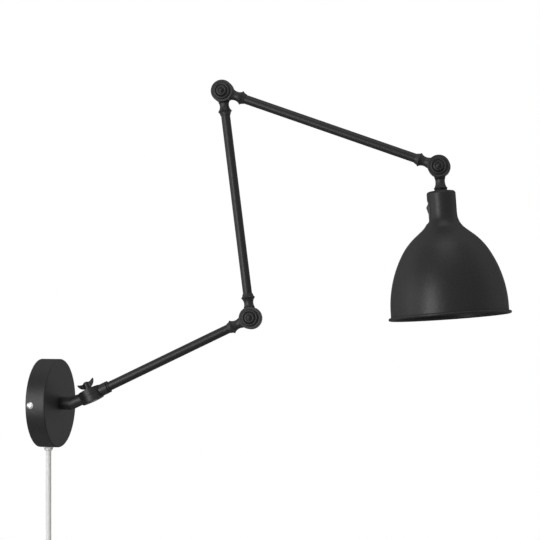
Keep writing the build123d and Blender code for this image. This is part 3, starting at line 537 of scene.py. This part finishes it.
def make_piece(name, mesh, place, slot, body, node, is_cast=False):
    """Places a drawn mesh as a piece that stands for a node."""
    bmesh.ops.recalc_face_normals(mesh, faces=mesh.faces)
    data = bpy.data.meshes.new(name)
    mesh.to_mesh(data)
    mesh.free()
    piece = bpy.data.objects.new(name, data)
    bpy.context.collection.objects.link(piece)
    if is_cast:
        cast(piece)
    piece.data.transform(place)
    piece.data.materials.clear()
    piece.data.materials.append(materials[slot])
    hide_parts(node)
    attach(piece, body)


def make_wing_nut():
    mesh = bmesh.new()
    add_turned(mesh, HUB_OUTLINE, closed=True)
    for side in (-1, 1):
        add_wing(mesh, side)
    place = on_swing_axis(NUT_SEAT, NUT_TURN)
    make_piece(
        "cast_wing_nut", mesh, place, "black_powder_coat", "wing_nut", "wing_nut", is_cast=True
    )


def make_swing_bolt():
    mesh = bmesh.new()
    outline = (
        (hexagon_radius, KNUCKLE_FACE + SOCKET_DEPTH),
        (hexagon_radius, KNUCKLE_FACE + BOLT_EDGE),
        (SOCKET_MOUTH_RADIUS, KNUCKLE_FACE),
        (BOLT_HEAD_RADIUS - BOLT_HEAD_BREAK, KNUCKLE_FACE),
        (BOLT_HEAD_RADIUS, KNUCKLE_FACE + BOLT_EDGE),
        (BOLT_RADIUS, KNUCKLE_FACE + BOLT_HEAD_RADIUS - BOLT_RADIUS),
        (BOLT_RADIUS, BOLT_TOP - BOLT_TIP_CHAMFER),
        (BOLT_RADIUS - BOLT_TIP_CHAMFER, BOLT_TOP),
    )
    add_turned(mesh, outline, closed=False)
    place = on_swing_axis(lift=0, turn=0)
    make_piece("countersunk_bolt", mesh, place, "black_steel", "wall_mount", "swing_bolt")


make_wing_nut()
make_swing_bolt()


# ---------------------------------------------------------------- camera
def make_camera():
    """Camera at the photo's angle; returns its level directions forward and to the right."""
    forward = Vector((-sin(AZIMUTH), cos(AZIMUTH), 0))
    right = Vector((cos(AZIMUTH), sin(AZIMUTH), 0))
    up = Vector((0, 0, 1))
    across = (AIM_PIXEL[0] - PICTURE_SIZE / 2) / FOCAL_LENGTH * AIM_DEPTH
    down = (AIM_PIXEL[1] - PICTURE_SIZE / 2) / FOCAL_LENGTH * AIM_DEPTH
    data = bpy.data.cameras.new("camera")
    data.sensor_width = SENSOR
    data.lens = FOCAL_LENGTH / PICTURE_SIZE * SENSOR
    data.clip_end = VIEW_DEPTH
    camera = bpy.data.objects.new("camera", data)
    camera.location = AIMED_AT - forward * AIM_DEPTH - right * across + up * down
    camera.rotation_euler = forward.to_track_quat("-Z", "Y").to_euler()
    bpy.context.collection.objects.link(camera)
    bpy.context.scene.camera = camera
    return forward, right


forward, right = make_camera()


# ---------------------------------------------------------------- lights, world and floor
def area_light(name, place, size, power):
    """Rectangular light that points at the lit place."""
    data = bpy.data.lights.new(name, "AREA")
    data.shape = "RECTANGLE"
    data.size, data.size_y = size
    data.energy = power
    lamp = bpy.data.objects.new(name, data)
    lamp.location = place
    lamp.rotation_euler = (LIT_PLACE - place).to_track_quat("-Z", "Y").to_euler()
    bpy.context.collection.objects.link(lamp)


def make_lights():
    for name, turn, height, size, power in LAMPS:
        towards = -forward * cos(radians(turn)) - right * sin(radians(turn))
        place = LIT_PLACE + towards * LAMP_DISTANCE + Vector((0, 0, height))
        area_light(name, place, size, power)
    area_light("top_light", LIT_PLACE + TOP_LAMP_OFFSET, TOP_LAMP_SIZE, TOP_LAMP_POWER)


def make_world():
    """White to the camera and in reflections, and a soft grey light on the object."""
    world = bpy.data.worlds.new("studio")
    bpy.context.scene.world = world
    world.use_nodes = True
    tree = world.node_tree
    background = tree.nodes["Background"]
    background.inputs["Color"].default_value = (1, 1, 1, 1)
    path = tree.nodes.new("ShaderNodeLightPath")
    seen = path.outputs["Is Camera Ray"]
    for name in ("Is Glossy Ray", "Is Transmission Ray"):
        either = tree.nodes.new("ShaderNodeMath")
        either.operation = "MAXIMUM"
        tree.links.new(seen, either.inputs[0])
        tree.links.new(path.outputs[name], either.inputs[1])
        seen = either.outputs["Value"]
    strength = tree.nodes.new("ShaderNodeMapRange")
    strength.inputs["To Min"].default_value = WORLD_LIGHT
    strength.inputs["To Max"].default_value = 1.0
    tree.links.new(seen, strength.inputs["Value"])
    tree.links.new(strength.outputs["Result"], background.inputs["Strength"])


def make_floor():
    """Plain pale floor, a little lighter to the camera than its own colour."""
    bpy.ops.mesh.primitive_circle_add(
        vertices=96, radius=FLOOR_RADIUS, fill_type="NGON", location=FLOOR_MIDDLE
    )
    floor = bpy.context.object
    floor.name = "floor"
    shader = Shader("floor", FLOOR_COLOR, roughness=0.8)
    seen = shader.add("ShaderNodeLightPath").outputs["Is Camera Ray"]
    shader.set("Emission Color", (1, 1, 1, 1))
    shader.drive("Emission Strength", shader.math("MULTIPLY", seen, FLOOR_LIFT))
    floor.data.materials.append(shader.material)


make_lights()
make_world()
make_floor()
bpy.context.scene.view_settings.view_transform = "Standard"
